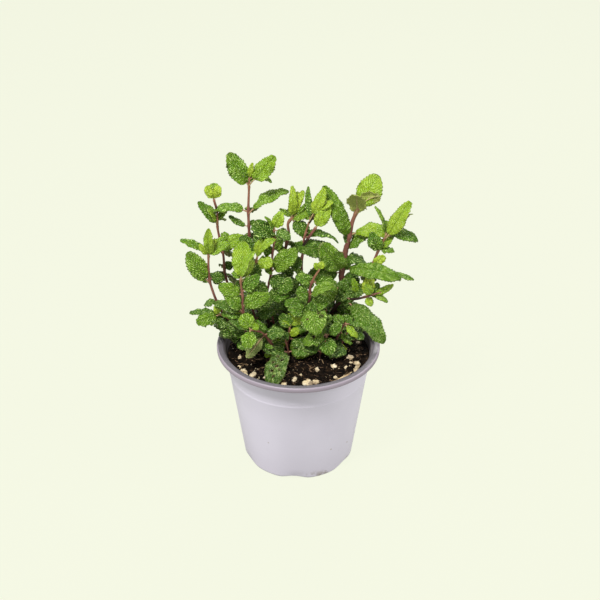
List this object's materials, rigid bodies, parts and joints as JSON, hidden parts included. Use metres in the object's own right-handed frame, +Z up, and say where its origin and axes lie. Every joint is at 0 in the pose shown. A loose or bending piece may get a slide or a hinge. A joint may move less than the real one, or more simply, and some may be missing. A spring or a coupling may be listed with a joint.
{
  "type": "potted herb plant",
  "caption": "Leafy young mint plant with upright stems and crinkled toothed leaves, growing in dark compost in a thin tapered plastic nursery pot.",
  "frame": {"origin": "on the pot's axis, on the surface that the pot stands on", "axes": "+Z up, +X to the right of the plant as seen from its front, +Y to its back"},
  "size_m": [0.1926, 0.14, 0.2824],
  "materials": {
    "pot_plastic": "thin thermoformed plastic, pale lilac grey, satin, a little dusty",
    "compost": "dark brown peat compost, crumbly, matt, with pale fibres and grit",
    "pebble": "pale cream grit, matt",
    "root": "dry bare root, matt",
    "stem": "red brown square stem, slightly downy, satin",
    "leaf_young": "young leaf, yellow green, crinkled, satin",
    "leaf_mid": "grown leaf, mid green with pale veins, crinkled, satin",
    "leaf_dark": "old leaf, dark green with pale veins, crinkled, satin"
  },
  "bodies": {
    "root": {"pot": "pot_plastic", "soil": "compost", "pebble_1": "pebble", "pebble_2": "pebble", "pebble_3": "pebble", "bare_root": "root", "stem_front": "stem", "stem_front_left": "stem", "stem_front_right": "stem", "stem_inner_left": "stem", "stem_left_back": "stem", "stem_left_front": "stem", "stem_low_left": "stem", "stem_mid_left": "stem", "stem_middle": "stem", "stem_middle_front": "stem", "stem_middle_left": "stem", "stem_middle_right": "stem", "stem_right": "stem", "stem_tall_left": "stem", "stem_tall_right": "stem", "leaf_front_1": "leaf_young", "leaf_front_2": "leaf_dark", "leaf_front_3": "leaf_dark", "leaf_front_left_1": "leaf_mid", "leaf_front_right_1": "leaf_mid", "leaf_left_back_1": "leaf_mid", "leaf_left_front_1": "leaf_mid", "leaf_left_front_2": "leaf_young", "leaf_low_left_1": "leaf_young", "leaf_low_left_2": "leaf_young", "leaf_low_left_3": "leaf_dark", "leaf_mid_left_1": "leaf_young", "leaf_mid_left_2": "leaf_mid", "leaf_mid_left_3": "leaf_mid", "leaf_middle_front_1": "leaf_mid", "leaf_middle_front_2": "leaf_mid", "leaf_middle_front_3": "leaf_mid", "leaf_middle_left_1": "leaf_mid", "leaf_middle_left_2": "leaf_dark", "leaf_middle_right_1": "leaf_young", "leaf_right_1": "leaf_young", "leaf_right_2": "leaf_mid", "leaf_right_3": "leaf_mid", "leaf_right_4": "leaf_mid", "leaf_right_5": "leaf_mid", "leaf_tall_left_1": "leaf_mid", "leaf_tall_left_2": "leaf_young", "leaf_tall_left_3": "leaf_mid", "leaf_tall_left_4": "leaf_mid", "leaf_tall_right_1": "leaf_young", "leaf_tall_right_10": "leaf_mid", "leaf_tall_right_2": "leaf_mid", "leaf_tall_right_3": "leaf_mid", "leaf_tall_right_4": "leaf_young", "leaf_tall_right_5": "leaf_mid", "leaf_tall_right_6": "leaf_dark", "leaf_tall_right_7": "leaf_young", "leaf_tall_right_8": "leaf_mid", "leaf_tall_right_9": "leaf_dark"}
  },
  "joints": []
}
